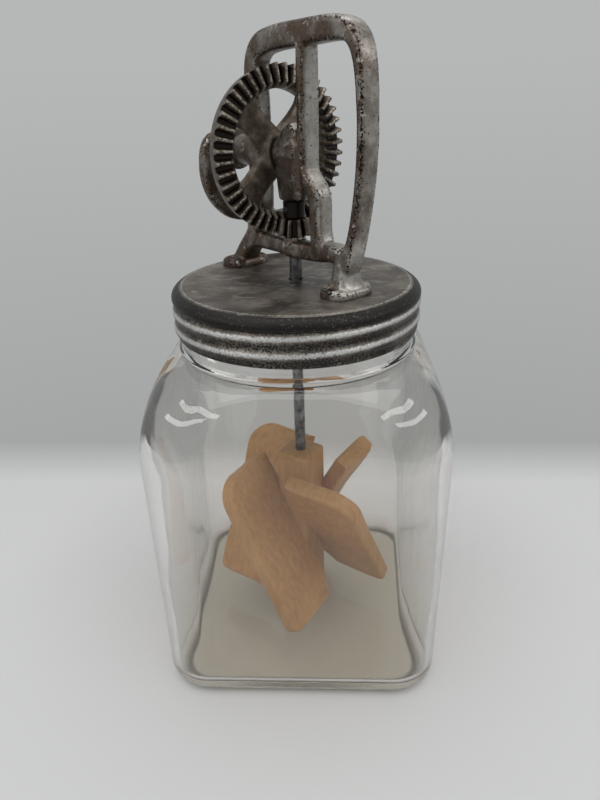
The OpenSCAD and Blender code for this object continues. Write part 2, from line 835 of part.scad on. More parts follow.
jar();
screw_lid();
frame();
frame_rivets();
crank_shaft();
drive_gear();
gear_pin();
crank_arm();
crank_pin();
knob_spindle();
knob_washer();
crank_knob();
dasher_rod();
pinion();
pinion_pin();
dasher_hub();
dasher_pin();
dasher_blade(0);  // dasher_blade_1
dasher_blade(1);  // dasher_blade_2
dasher_blade(2);  // dasher_blade_3
dasher_blade(3);  // dasher_blade_4
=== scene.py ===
# %% [markdown]
# # A glass jar butter churn
# The churn is a square glass jar with a screw lid. On the lid stands an iron casting with a hand
# crank and a pair of bevel gears, and they turn a wooden dasher inside the jar. The solids that
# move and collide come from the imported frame. This lesson puts finer skins and real finishes on them.

import math

import bpy
import numpy as np
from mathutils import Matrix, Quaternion, Vector


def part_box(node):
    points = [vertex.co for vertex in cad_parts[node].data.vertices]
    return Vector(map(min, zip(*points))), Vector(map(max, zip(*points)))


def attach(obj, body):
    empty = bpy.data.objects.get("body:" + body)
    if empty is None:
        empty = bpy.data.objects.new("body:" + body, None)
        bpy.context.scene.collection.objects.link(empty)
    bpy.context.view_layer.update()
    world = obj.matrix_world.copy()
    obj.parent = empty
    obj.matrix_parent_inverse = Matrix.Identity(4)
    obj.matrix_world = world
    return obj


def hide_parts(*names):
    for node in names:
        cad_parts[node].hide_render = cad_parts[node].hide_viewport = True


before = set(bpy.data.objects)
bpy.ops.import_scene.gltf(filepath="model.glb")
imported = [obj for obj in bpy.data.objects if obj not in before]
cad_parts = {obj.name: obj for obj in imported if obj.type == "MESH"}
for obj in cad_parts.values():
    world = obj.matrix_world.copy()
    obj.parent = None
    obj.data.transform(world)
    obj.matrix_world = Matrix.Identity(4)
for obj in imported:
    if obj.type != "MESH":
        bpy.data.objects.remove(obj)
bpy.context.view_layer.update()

# %% [markdown]
# ## Points, rings and skins
# Nearly every piece here is a row of rings: a pot turned on a lathe, a bar cast along a curve, a jar
# pressed in a mould. So one helper joins a grid of points into a closed skin, and another puts
# skins into a mesh. Sizes are written in millimetres and scaled once, when the mesh is made.

# %% Closed skins from grids of points
MM = 0.001


def enclosed(points, faces):
    """Volume inside a closed skin: the sum of the pyramids from the origin to fans of each face."""
    total = 0.0
    for face in faces:
        a, b, c = points[face[..., :1]], points[face[..., 1:-1]], points[face[..., 2:]]
        total += np.sum(a * np.cross(b, c)) / 6
    return total


def skin(rings, loop=False):
    """Joins row after row of an array [rows, columns, 3] with four-sided faces. A loop joins its last
    row to its first, any other skin is closed by a flat face at each end. If the enclosed volume
    comes out negative the faces look inwards, and all of them are turned over."""
    rows, columns = rings.shape[:2]
    index = np.arange(rows * columns).reshape(rows, columns)
    near = index if loop else index[:-1]
    far = np.roll(index, -1, 0) if loop else index[1:]
    quads = np.stack([near, np.roll(near, -1, 1), np.roll(far, -1, 1), far], -1).reshape(-1, 4)
    faces = [quads] if loop else [quads, index[:1, ::-1], index[-1:]]
    points = rings.reshape(-1, 3)
    if enclosed(points, faces) < 0:
        faces = [face[:, ::-1] for face in faces]
    return points, faces


def turned_z(points, angle):
    """Points turned about the upright axis: x and y mix by the angle's cosine and sine."""
    x, y = points[..., 0], points[..., 1]
    c, s = math.cos(angle), math.sin(angle)
    return np.stack([x * c - y * s, x * s + y * c, points[..., 2]], -1)


def mesh_of(name, skins):
    """Puts several skins into one mesh, in metres, one after the other."""
    faces = []
    start = 0
    for points, parts in skins:
        faces += [face for part in parts for face in (part + start).tolist()]
        start += len(points)
    mesh = bpy.data.meshes.new(name)
    mesh.from_pydata(np.vstack([points for points, parts in skins]) * MM, [], faces)
    return mesh


def piece(mesh, body, slot, finish, *nodes, sharp=40):
    """Makes a mesh an object of the churn: smooth but for corners sharper than the angle, riding on
    its body, with its finish, in place of the solids named."""
    mesh.shade_smooth()
    mesh.set_sharp_from_angle(angle=math.radians(sharp))
    mesh.materials.append(finish)
    made = bpy.data.objects.new(mesh.name, mesh)
    bpy.context.scene.collection.objects.link(made)
    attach(made, body)
    if nodes:
        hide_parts(*nodes)
    print(mesh.name, "has", len(mesh.polygons), "faces")
    return made


def note(mesh, name, values):
    """Keeps one number for each point of a mesh, for its finish to read."""
    kept = mesh.attributes.new(name, "FLOAT", "POINT")
    kept.data.foreach_set("value", np.ravel(values).astype(np.float32))


# %% [markdown]
# ## Finishes
# A finish is a small tree of nodes. One function adds a node and fills its sockets, and one turns a
# web colour into the linear values that the renderer adds up. The short ones after them name what
# the finishes use again and again: a cloudy pattern, a sum, a blend of colours, a bump.

# %% Nodes and colours
def linear(colour):
    """Turns sRGB hex to linear RGBA: each channel under 0.04045 is divided by 12.92, and any other
    has 0.055 added, is divided by 1.055 and raised to the power 2.4."""
    channels = [int(colour[i : i + 2], 16) / 255 for i in (1, 3, 5)]
    return [c / 12.92 if c <= 0.04045 else ((c + 0.055) / 1.055) ** 2.4 for c in channels] + [1.0]


def fill(tree, node, inputs):
    """Fills a node's sockets: the output of another node is linked, a web colour is made linear and
    set, and any other value is set as it is."""
    for socket, value in inputs.items():
        if isinstance(value, bpy.types.NodeSocket):
            tree.links.new(value, node.inputs[socket])
        else:
            node.inputs[socket].default_value = linear(value) if isinstance(value, str) else value


def add(tree, kind, inputs=None, stops=(), **settings):
    """Adds one shader node: settings are its properties, inputs fill its sockets, and stops are the
    places and colours of a colour ramp."""
    made = tree.nodes.new("ShaderNode" + kind)
    for name, value in settings.items():
        setattr(made, name, value)
    fill(tree, made, inputs or {})
    for i, (place, colour) in enumerate(stops):
        ramp = made.color_ramp.elements
        stop = ramp[i] if i < 2 else ramp.new(place)
        stop.position = place
        stop.color = linear(colour)
    return made


def attribute(tree, name):
    """The number that each point of a mesh keeps under a name."""
    return add(tree, "Attribute", attribute_name=name).outputs["Fac"]


def noise(tree, place, size_mm, detail, rough=0.5, distortion=0.0):
    """A cloudy pattern of values round a half, with blotches about so many millimetres across."""
    look = {"Scale": 1000 / size_mm, "Detail": detail, "Roughness": rough, "Distortion": distortion}
    return add(tree, "TexNoise", {"Vector": place, **look}).outputs["Fac"]


def reckon(tree, operation, *numbers):
    """The result of one sum, whose numbers are plain ones or outputs of other nodes."""
    return add(tree, "Math", dict(enumerate(numbers)), operation=operation).outputs["Value"]


def mapped(tree, value, low, high, to_low=0.0, to_high=1.0):
    """Carries a value from the span low to high over to another span, and keeps it inside that."""
    spans = {"From Min": low, "From Max": high, "To Min": to_low, "To Max": to_high}
    return add(tree, "MapRange", {"Value": value, **spans}).outputs["Result"]


def tinted(tree, value, *stops):
    """The colour that a ramp of stops has at a value."""
    return add(tree, "ValToRGB", {"Fac": value}, stops).outputs["Color"]


def blend(tree, share, first, second):
    """The colour that lies a share of the way from the first colour to the second."""
    return add(tree, "Mix", {0: share, 6: first, 7: second}, data_type="RGBA").outputs["Result"]


def bumped(tree, height, strength, depth_mm):
    """Normals that make a pattern seem to stand out by a depth."""
    inputs = {"Height": height, "Strength": strength, "Distance": depth_mm * MM}
    return add(tree, "Bump", inputs).outputs["Normal"]


def surface(tree, output, share, first, second):
    """Gives the output node a mix that lies a share of the way from the first shader to the second."""
    mixed = add(tree, "MixShader", {"Fac": share, 1: first, 2: second}).outputs["Shader"]
    tree.links.new(mixed, tree.nodes[output].inputs["Surface"])


def finish(name):
    """An empty material with its surface shader, and the object's own coordinates in metres."""
    made = bpy.data.materials.new(name)
    made.use_nodes = True
    tree = made.node_tree
    shader = tree.nodes["Principled BSDF"]
    place = add(tree, "TexCoord").outputs["Object"]
    return made, tree, shader, place


# %% [markdown]
# ## Clear pressed glass
# The jar was pressed in a mould, so its glass is clear with a breath of grey, and its walls are
# never quite flat. Their long upright waves could be modelled, but a bump is enough, because it only
# has to bend what is seen through the wall. Where the eye looks along the wall, the glass is thick
# and looks grey-green. Near the floor inside, a beige tint is partly a film of old milk and partly
# painted shade of the dasher. Lamp light goes straight through to the paper, and only the low heel
# shades it. A ray that is caught inside the wall is let out after some turns.

# %% Clear pressed glass
clear_glass, tree, shader, place = finish("clear pressed glass")
stretched = add(tree, "Mapping", {"Vector": place, "Scale": (1, 1, 0.35)}).outputs["Vector"]
strength = reckon(tree, "MULTIPLY", attribute(tree, "wavy"), 0.5)
normal = bumped(tree, noise(tree, stretched, 26, 1.0), strength, 2.5)
# Film and painted shade: near the floor the glass is tinted beige, partly a milk film and partly painted
# shade of the dasher.
milky_and_shaded = blend(tree, attribute(tree, "film_and_shade"), "#fbfaf8", "#cec4b3")
facing = add(tree, "LayerWeight", {"Blend": 0.5}).outputs["Facing"]
deep = blend(tree, reckon(tree, "POWER", facing, 3.0), milky_and_shaded, "#525a56")
fill(tree, shader, {"Base Color": deep, "Normal": normal, "Roughness": 0.0})
fill(tree, shader, {"IOR": 1.52, "Transmission Weight": 1.0})
ray = add(tree, "LightPath").outputs
soft = reckon(tree, "MAXIMUM", ray["Is Shadow Ray"], ray["Is Diffuse Ray"])
trapped = reckon(tree, "GREATER_THAN", ray["Ray Depth"], 4.5)
straight = reckon(tree, "MAXIMUM", soft, trapped)
shade = blend(tree, attribute(tree, "heel"), "#f8f7f4", "#6b6558")
through = add(tree, "BsdfTransparent", {"Color": shade}).outputs["BSDF"]
surface(tree, "Material Output", straight, shader.outputs["BSDF"], through)
print(clear_glass.name)

# %% [markdown]
# ## Worn tinned cast iron
# The casting was dipped in tin, which is left as a dull silver. Rust and grease have browned the
# side next to the crank and the strap, and a painted brown shade darkens the hollows, the faces
# turned away from the light, one half of the middle post and the left foot. Brighter flakes show
# where the rust is rubbed off again. Along the edges the tin is worn to black pits. Each point of
# the skin knows how sharply it bends outwards and how much rust and painted shade lies on it, and
# the finish reads both.

# %% Worn tinned cast iron
cast_tin, tree, shader, place = finish("worn tinned cast iron")
edge = attribute(tree, "edge")
patches = noise(tree, place, 7, 5.0, 0.62)
tin = tinted(tree, patches, (0.34, "#8f8a83"), (0.70, "#bab7b1"), (0.52, "#a5a19a"))
stain = noise(tree, place, 9, 5.0, 0.6)
# The brown here is rust and painted shade: hollows, faces turned away from the light, one half of the middle
# post and the left foot are darkened as shade.
rust = reckon(tree, "ADD", stain, attribute(tree, "rust_and_shade"))
browned_and_shaded = blend(tree, mapped(tree, rust, 0.56, 0.96), tin, "#5a4c41")
flakes = reckon(tree, "MULTIPLY_ADD", edge, 0.12, noise(tree, place, 4, 6.0, 0.7))
flaked = blend(tree, mapped(tree, flakes, 0.60, 0.70), browned_and_shaded, "#b4b0a9")
grit = noise(tree, place, 1.1, 3.0, 0.55)
pits = reckon(tree, "MULTIPLY_ADD", edge, 0.26, grit)
pitted = blend(tree, mapped(tree, pits, 0.64, 0.70), flaked, "#191411")
rough = mapped(tree, stain, 0.0, 1.0, 0.22, 0.50)
normal = bumped(tree, grit, 0.35, 0.3)
fill(tree, shader, {"Base Color": pitted, "Roughness": rough, "Normal": normal, "Metallic": 0.8})
print(cast_tin.name)

# %% [markdown]
# ## Greasy gear iron
# The gears are the same iron without tin: dark brown and black with old grease in the tooth gaps,
# and rubbed bright on the crests. Each point of a tooth knows how high it stands, and the finish
# reads that height.

# %% Greasy gear iron
gear_iron, tree, shader, place = finish("greasy cast gear iron")
crest = attribute(tree, "crest")
soil_and_shade = noise(tree, place, 5, 5.0, 0.6)
base = tinted(tree, soil_and_shade, (0.32, "#443a31"), (0.72, "#8c8175"), (0.52, "#675c51"))
dark = blend(tree, mapped(tree, crest, 0.62, 0.2), base, "#1f1813")
grit = noise(tree, place, 1.2, 3.0)
rubbed_and_highlit = reckon(tree, "MULTIPLY", crest, grit)
teeth = blend(tree, mapped(tree, rubbed_and_highlit, 0.44, 0.58), dark, "#a49c91")
normal = bumped(tree, grit, 0.3, 0.3)
fill(tree, shader, {"Base Color": teeth, "Normal": normal, "Metallic": 0.75, "Roughness": 0.45})
print(gear_iron.name)

# %% [markdown]
# ## Zinc-coated sheet
# The lid is thin steel with a zinc skin. Its flat top has gone brown-grey with stains and fine
# scuffs. On the side the upper half of each thread bead and a thin line along the rounded edge get
# a painted highlight, while the lower half of each bead gets painted shade with a speckled grime,
# and the plain band is darker and speckled. Each point of the lid knows its painted highlight and
# its grime and shade.

# %% Zinc-coated sheet
zinc_sheet, tree, shader, place = finish("stained zinc-coated sheet steel")
cloud = noise(tree, place, 34, 6.0, 0.6)
stained = tinted(tree, cloud, (0.36, "#3d3833"), (0.66, "#8f887e"), (0.51, "#655e57"))
turned = add(tree, "Mapping", {"Vector": place, "Rotation": (0, 0, 0.5), "Scale": (1, 2.4, 1)})
scuff = noise(tree, turned.outputs["Vector"], 15, 7.0, 0.68, 1.2)
scuffed = blend(tree, mapped(tree, scuff, 0.52, 0.66, 0.0, 0.55), stained, "#b3ada3")
speck = noise(tree, place, 1.0, 3.0, 0.6)
# Grime and painted shade darken the lower halves of the beads and the plain band.
soil_and_shade = reckon(tree, "ADD", attribute(tree, "grime_and_shade"), speck)
soiled_and_shaded = blend(tree, mapped(tree, soil_and_shade, 0.84, 1.10), scuffed, "#262423")
# Painted highlight brightens the upper halves of the beads and the thin line along the rounded edge.
highlight_share = reckon(tree, "ADD", attribute(tree, "painted_highlight"), speck)
rubbed_and_highlit = blend(tree, mapped(tree, highlight_share, 1.06, 1.34), soiled_and_shaded, "#c9c8c6")
rough = mapped(tree, cloud, 0.0, 1.0, 0.3, 0.6)
normal = bumped(tree, speck, 0.25, 0.2)
fill(tree, shader, {"Base Color": rubbed_and_highlit, "Roughness": rough, "Normal": normal, "Metallic": 0.8})
print(zinc_sheet.name)

# %% [markdown]
# ## Bare steel
# Rod, shaft and pins are drawn steel that nobody painted. It is grey with dark spots of rust, and
# rougher where the rust is. The rivets are the same steel, only darker.

# %% Bare steel
def bare_steel(name, light, rust):
    """Drawn steel between a light colour and the colour of its rust."""
    made, tree, shader, place = finish(name)
    spots = noise(tree, place, 4, 5.0, 0.65)
    colour = tinted(tree, spots, (0.36, rust), (0.60, light))
    rough = mapped(tree, spots, 0.0, 1.0, 0.6, 0.25)
    normal = bumped(tree, spots, 0.2, 0.2)
    fill(tree, shader, {"Base Color": colour, "Roughness": rough, "Normal": normal, "Metallic": 0.9})
    print(name)
    return made


rod_steel = bare_steel("bare drawn steel", "#7a7b7d", "#332d2a")
dark_steel = bare_steel("darkened rivet steel", "#4a443f", "#1c1714")

# %% [markdown]
# ## Wood
# The dasher is bare pale hardwood, tanned by buttermilk, and the knob is stained red-brown. Wood
# shows lines along its grain, so a noise is stretched ten times along one axis of the churn.

# %% Wood
def wood(name, pale, middle, dark, rough):
    """Grain is a noise stretched along the upright axis, over broad clouds of darker wood."""
    made, tree, shader, place = finish(name)
    along = add(tree, "Mapping", {"Vector": place, "Scale": (1, 1, 0.1)}).outputs["Vector"]
    lines = noise(tree, along, 2.2, 4.0, 0.55, 0.4)
    clouds = noise(tree, place, 38, 2.0)
    both = add(tree, "Mix", {0: 0.45, 2: lines, 3: clouds}).outputs["Result"]
    colour = tinted(tree, both, (0.36, dark), (0.66, pale), (0.50, middle))
    normal = bumped(tree, lines, 0.2, 0.2)
    fill(tree, shader, {"Base Color": colour, "Normal": normal, "Roughness": rough})
    print(name)
    return made


dasher_wood = wood("bare maple tanned by use", "#c4965e", "#b6874f", "#a47641", 0.55)
knob_wood = wood("stained turned hardwood", "#9a4f37", "#7d3a28", "#57261a", 0.35)

# %% [markdown]
# ## The jar
# Seen from above the jar is a square with round corners, and its shoulder turns that square into
# the round neck. Every level is one ring: four quarter circles with straight runs between them. The
# wall is a single skin that goes up outside, over the rim and down inside, because glass only
# bends light rightly when it has a true thickness. At the shoulder the inside corners are rounder
# than the outside ones, so the glass is thick there. Each point keeps three numbers for the finish:
# how much film and painted shade lies on it, how wavy the wall is there, and whether it belongs to
# the low heel.

# %% Jar rings
JAR_HALF = 78.5
JAR_CORNER = 25.0
GLASS_WALL = 3.8
INNER_CORNER = 28.0
GLASS_FLOOR = 6.0
HEEL = 11.0
INNER_HEEL = 9.0
SIDE_TOP = 146.0
SHOULDER = 44.0
NECK = 62.3
RIM = 223.0


def square_ring(half, corner, height):
    """Round-cornered square: each quarter is an arc about a corner's centre, of radius corner, whose
    ends are spread along the straight sides. Half and corner may differ from ring to ring."""
    arc = np.linspace(0, math.pi / 2, 25)
    run = np.linspace(-1, 1, 13)[1:-1]
    x = np.r_[half - corner + corner * np.cos(arc), (corner - half) * run]
    y = np.r_[half - corner + corner * np.sin(arc), np.full(len(run), half)]
    quarter = np.stack([x, y, np.full(len(x), height)], -1)
    return np.vstack([turned_z(quarter, q * math.pi / 2) for q in range(4)])


def rings_of(levels):
    """Stacks rings from rows of half width, corner radius and height."""
    return np.array([square_ring(half, min(corner, half * 0.985), height) for half, corner, height in levels])


def heel_levels(half, corner, floor, heel):
    """The round edge at the bottom: a quarter circle that leaves the floor and ends upright."""
    angle = np.linspace(0, math.pi / 2, 8)
    inset = heel * (1 - np.sin(angle))
    return np.c_[half - inset, corner - 0.6 * inset, floor + heel * (1 - np.cos(angle))]


def shoulder_levels(half, corner, neck, base):
    """The shoulder: half width runs from side to neck as a quarter ellipse, while the corner radius
    grows until the square has become a circle."""
    angle = np.linspace(0, math.pi / 2, 30)
    halves = neck + (half - neck) * np.cos(angle)
    corners = neck + (corner - neck) * np.cos(angle)
    return np.c_[halves, corners, base + SHOULDER * np.sin(angle)]


bead = np.linspace(0, math.pi, 13)[1:]
outside = np.vstack(
    [
        heel_levels(JAR_HALF, JAR_CORNER, 0.0, HEEL),
        shoulder_levels(JAR_HALF, JAR_CORNER, NECK, SIDE_TOP),
        np.c_[NECK + 1.5 * np.sin(bead), np.full(12, NECK), SIDE_TOP + SHOULDER + 5 * bead / math.pi],
        [[NECK, NECK, RIM - 2], [NECK - 0.5, NECK, RIM - 0.6], [NECK - 1.6, NECK, RIM]],
    ]
)
inner_half = JAR_HALF - GLASS_WALL
inner_neck = NECK - GLASS_WALL
inside = np.vstack(
    [
        [[inner_neck + 1.6, NECK, RIM], [inner_neck + 0.5, NECK, RIM - 0.6], [inner_neck, NECK, RIM - 2]],
        shoulder_levels(inner_half, INNER_CORNER, inner_neck, SIDE_TOP - 1)[::-1],
        heel_levels(inner_half, JAR_CORNER - GLASS_WALL, GLASS_FLOOR, INNER_HEEL)[::-1],
    ]
)
jar_rings = rings_of(np.vstack([outside, inside]))
jar_mesh = mesh_of("glass_jar", [skin(jar_rings)])
# Film and painted shade: the inside near the floor is tinted beige, partly a milk film and partly painted
# shade of the dasher.
film_and_shade = np.r_[np.zeros(len(outside)), np.clip(1.4 - inside[:, 2] / 14, 0, 1)]
low_heel = np.clip(outside[:, 2] / 0.25, 0, 1) * np.clip(1.3 - outside[:, 2] / 5, 0, 1)
low_heel = np.r_[low_heel, np.zeros(len(inside))]
note(jar_mesh, "film_and_shade", np.repeat(film_and_shade, jar_rings.shape[1]))
note(jar_mesh, "heel", np.repeat(low_heel, jar_rings.shape[1]))
note(jar_mesh, "wavy", np.clip(jar_rings[:, :, 2] / 12 - 0.5, 0, 1))
glass_jar = piece(jar_mesh, "jar_body", "clear_glass", clear_glass, "jar")

# %% [markdown]
# ## The screw lid
# The lid is spun from sheet: a flat top, a rounded edge, a plain band, and a rolled thread. The
# thread is one bead that winds down as a screw does, so its height depends on the angle as well.
# That makes the lid a surface of two parameters: the way down its section and the turn round it.

# %% Lid surface
LID_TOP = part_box("screw_lid")[1].z / MM
LID_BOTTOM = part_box("screw_lid")[0].z / MM
LID_R = 65.5
SHEET = 0.8
EDGE_OUT = 7.2
EDGE_DOWN = 5.0
BAND_IN = 0.25
THREAD_START = 216.05
THREAD_PITCH = 8.2
THREAD_PROUD = 1.5
turns = np.linspace(0, 2 * math.pi, 320, endpoint=False)


def thread_phase(height, angle):
    """Turns of the screw line at a height and an angle: a whole number is the crest of a bead."""
    return (height - THREAD_START) / THREAD_PITCH - angle / (2 * math.pi)


def thread_height(height, angle):
    """How proud the bead stands: a raised cosine of the phase, which fades out under the plain band
    and above the lower edge."""
    wave = 0.5 + 0.5 * np.cos(2 * math.pi * thread_phase(height, angle))
    top_fade = np.clip((THREAD_START + 2.5 - height) / 2.2, 0, 1)
    low_fade = np.clip((height - LID_BOTTOM) / 2.4, 0, 1)
    return wave**0.8 * top_fade * low_fade


def lid_face(inset):
    """One face of the sheet, from the rod's hole out and down, as points, painted highlight, and grime
    and painted shade. The edge is a quarter ellipse. The painted highlight is a cosine of the phase
    whose top lies above the crest, and a narrow bell along the edge. Grime and painted shade fill the
    rest of the side."""
    edge = np.linspace(math.pi / 2, 0, 20)
    turn_r = LID_R - BAND_IN - EDGE_OUT
    turn_z = LID_TOP - EDGE_DOWN
    flat_r = np.linspace(4.0, turn_r, 30)
    flat = np.c_[flat_r, np.full(30, LID_TOP - inset)]
    curve = np.c_[turn_r + (EDGE_OUT - inset) * np.cos(edge), turn_z + (EDGE_DOWN - inset) * np.sin(edge)]
    wall = np.c_[np.full(90, LID_R - BAND_IN - inset), np.linspace(turn_z - 0.2, LID_BOTTOM, 90)]
    section = np.vstack([flat, curve[1:], wall])
    radius = np.repeat(section[:, :1], len(turns), 1)
    height = np.repeat(section[:, 1:], len(turns), 1)
    below = np.clip((LID_TOP - 5.8 - height) / 1.2, 0, 1)
    proud = thread_height(height, turns[None, :])
    radius = radius + below * (BAND_IN - THREAD_PROUD * (1 - proud))
    # Painted highlight: the upper half of each bead and a thin line along the rounded edge are brightened as
    # if lit from above.
    upper_highlight = 0.5 + 0.5 * np.cos(2 * math.pi * (thread_phase(height, turns[None, :]) - 0.17))
    rim_highlight = 0.75 * np.exp(-(((radius - turn_r - 1.6) / 0.8) ** 2))
    painted_highlight = 0.94 * below * upper_highlight**1.15 * np.sqrt(proud) + rim_highlight
    band = 0.68 * np.clip((radius - turn_r - 2.2) / 1.2, 0, 1)
    # Grime and painted shade: the lower half of each bead is darkened as shade with grime, and the plain band
    # above the thread is darker.
    grime_and_shade = np.where(below > 0, 0.55 - 0.35 * painted_highlight, band)
    return np.stack([radius * np.cos(turns), radius * np.sin(turns), height], -1), painted_highlight, grime_and_shade


outer, outer_highlight, outer_grime_and_shade = lid_face(0.0)
under, under_highlight, under_grime_and_shade = lid_face(SHEET)
lid_mesh = mesh_of("threaded_lid", [skin(np.concatenate([outer, under[::-1]]), loop=True)])
note(lid_mesh, "painted_highlight", np.concatenate([outer_highlight, np.zeros_like(under_highlight)]))
note(lid_mesh, "grime_and_shade", np.concatenate([outer_grime_and_shade, np.full_like(under_grime_and_shade, 0.4)]))
screw_lid = piece(lid_mesh, "lid_body", "zinc_lid", zinc_sheet, "screw_lid")

# %% [markdown]
# ## Bars cast along a curve
# The casting and the crank arm are bars with soft corners that swell and bend. Each is a section
# carried along a smooth curve through a few stations. Separate bars would meet in hard creases, so
# they are melted together: a voxel remesh makes one skin of them and a smoothing rounds the joins,
# as the sand mould did.

# %% Bars and their melting together
LID_TURN = math.radians(-48.7)


def on_lid(points):
    """Turns points of the mechanism with the lid and lifts them onto it. Their X runs along the
    crank shaft, away from the crank, and their Z starts at the lid's top."""
    return turned_z(points, LID_TURN) + [0, 0, LID_TOP]


def curve_through(stations, steps):
    """Catmull-Rom curve: between stations b and c a cubic passes both, leaves b in the direction
    from a to c and reaches c in the direction from b to d. End stations count twice."""
    rows = np.asarray(stations, float)
    before = np.vstack([rows[:1], rows[:-2]])
    after = np.vstack([rows[2:], rows[-1:]])
    b, c = rows[:-1], rows[1:]
    t = np.linspace(0, 1, steps, endpoint=False)[:, None, None]
    square = 2 * before - 5 * b + 4 * c - after
    cube = 3 * b - before - 3 * c + after
    spans = 0.5 * (2 * b + (c - before) * t + square * t**2 + cube * t**3)
    return np.vstack([spans.transpose(1, 0, 2).reshape(-1, rows.shape[1]), rows[-1:]])


def bar(stations, deep=(0, 1, 0), power=2.6, steps=8, sides=40):
    """A rounded section carried along the curve through stations of x, y, z, half width and half
    depth. The section is a superellipse: its cosine and sine are raised to 2 / power."""
    path = curve_through(stations, steps)
    along = np.gradient(path[:, :3], axis=0)
    along /= np.linalg.norm(along, axis=1, keepdims=True)
    side = np.cross(along, deep)
    side /= np.linalg.norm(side, axis=1, keepdims=True)
    up = np.cross(side, along)
    angle = 2 * math.pi * (np.arange(sides) + 0.5) / sides
    across = np.sign(np.cos(angle)) * np.abs(np.cos(angle)) ** (2 / power)
    upward = np.sign(np.sin(angle)) * np.abs(np.sin(angle)) ** (2 / power)
    wide = side[:, None] * (path[:, 3:4] * across)[..., None]
    high = up[:, None] * (path[:, 4:5] * upward)[..., None]
    return path[:, None, :3] + wide + high


def turned_x(profile, y=0.0, z=0.0, sides=64):
    """A piece turned about an axis along X: rows of x and radius, at the axis's y and z."""
    angle = 2 * math.pi * np.arange(sides) / sides
    rows = np.asarray(profile, float)
    x = np.repeat(rows[:, :1], sides, 1)
    return np.stack([x, y + rows[:, 1:] * np.cos(angle), z + rows[:, 1:] * np.sin(angle)], -1)


def points_of(mesh):
    """Places in millimetres and normals of a mesh's points."""
    count = len(mesh.vertices)
    place = np.empty(count * 3)
    mesh.vertices.foreach_get("co", place)
    normal = np.empty(count * 3)
    mesh.vertices.foreach_get("normal", normal)
    return place.reshape(-1, 3) / MM, normal.reshape(-1, 3)


def bend(mesh):
    """How sharply a skin bends outwards at each point, in turns for each millimetre: the mean over
    its edges of the fall below the tangent plane, over the edge's squared length. It is evened out
    over neighbours twice."""
    place, normal = points_of(mesh)
    ends = np.empty(len(mesh.edges) * 2, np.int64)
    mesh.edges.foreach_get("vertices", ends)
    ends = ends.reshape(-1, 2)
    both = np.vstack([ends, ends[:, ::-1]])
    step = place[both[:, 0]] - place[both[:, 1]]
    fall = np.einsum("ij,ij->i", normal[both[:, 0]], step) / np.einsum("ij,ij->i", step, step)
    count = len(place)
    share = np.bincount(both[:, 0], minlength=count)
    value = np.bincount(both[:, 0], fall, count) / share
    for _ in range(2):
        value = 0.5 * value + 0.5 * np.bincount(both[:, 0], value[both[:, 1]], count) / share
    return value


def rust_and_painted_shade(mesh):
    """How brown each point is: rust more towards the crank and on the strap, and painted shade on one
    half of the middle post, on faces that look back to the crank or to the left of it, and on the
    left foot."""
    place, normal = points_of(mesh)
    c, s = math.cos(LID_TURN), math.sin(LID_TURN)
    along = place[:, 0] * c + place[:, 1] * s
    facing_along = normal[:, 0] * c + normal[:, 1] * s
    facing_across = normal[:, 1] * c - normal[:, 0] * s
    across = place[:, 1] * c - place[:, 0] * s
    # Painted shade: faces turned away from the light and one half of the middle post are browned as if in
    # shade.
    turned_away_shade = 0.2 - 0.3 * facing_along - 0.45 * facing_across
    strap = np.clip((along - 40) / 6, 0, 1) * np.clip((place[:, 2] - LID_TOP - 18) / 10, 0, 1)
    post_shade = np.exp(-(((along - 12) / 6) ** 2)) * np.clip(-across / 5, -1, 1)
    # Painted shade on the left foot, darkened as if in shadow.
    foot = 0.25 * np.clip((-32 - along) / 6, 0, 1) * np.clip((LID_TOP + 14 - place[:, 2]) / 6, 0, 1)
    return np.clip(turned_away_shade - np.clip(along, -50, 50) / 130 + 0.72 * strap + 0.4 * post_shade, 0, 0.42) + foot


def melted(name, skins, voxel_mm, rounds):
    """One skin from overlapping ones: a voxel remesh, then rounds of smoothing. Its points keep how
    sharply they bend outwards and how much rust and painted shade lies on them, and hollows get
    painted shade too."""
    raw = mesh_of(name + " parts", skins)
    held = bpy.data.objects.new(name + " parts", raw)
    bpy.context.scene.collection.objects.link(held)
    remesh = held.modifiers.new("melt", "REMESH")
    remesh.mode = "VOXEL"
    remesh.voxel_size = voxel_mm * MM
    ease = held.modifiers.new("ease", "SMOOTH")
    ease.factor = 0.5
    ease.iterations = rounds
    sight = bpy.context.evaluated_depsgraph_get()
    mesh = bpy.data.meshes.new_from_object(held.evaluated_get(sight))
    mesh.name = name
    bpy.data.objects.remove(held)
    bpy.data.meshes.remove(raw)
    edge = np.clip(4 * bend(mesh), -1, 1)
    note(mesh, "edge", edge)
    # Painted shade in the hollows: the inward bend is added to the brown as shade.
    note(mesh, "rust_and_shade", rust_and_painted_shade(mesh) + 0.5 * np.clip(-edge, 0, 1))
    return mesh


# %% [markdown]
# ## The casting
# A left leg rises into a post, turns over the gear as the top bar and comes down on the right as a
# flat strap to the right foot. A middle post drops from the bar, carries both bearings in a block,
# and steps out to the same foot. A low cross bar guides the rod.

# %% Casting
SHAFT_Z = 61.5
BAR_Z = 109.7
POST = 5.2
THIN = 2.8
STRAP = 2.2
STRAP_W = 5.5
LEFT_POST = -26.575
MIDDLE_POST = 11.8
LOW_POST = MIDDLE_POST + 9.1
ARM = 50.6
LEFT_FOOT = -46.5
RIGHT_FOOT = 38.5
CROSS_Z = 16.4
BOSS_UNDER = 39.93
HORN_END = -44.775

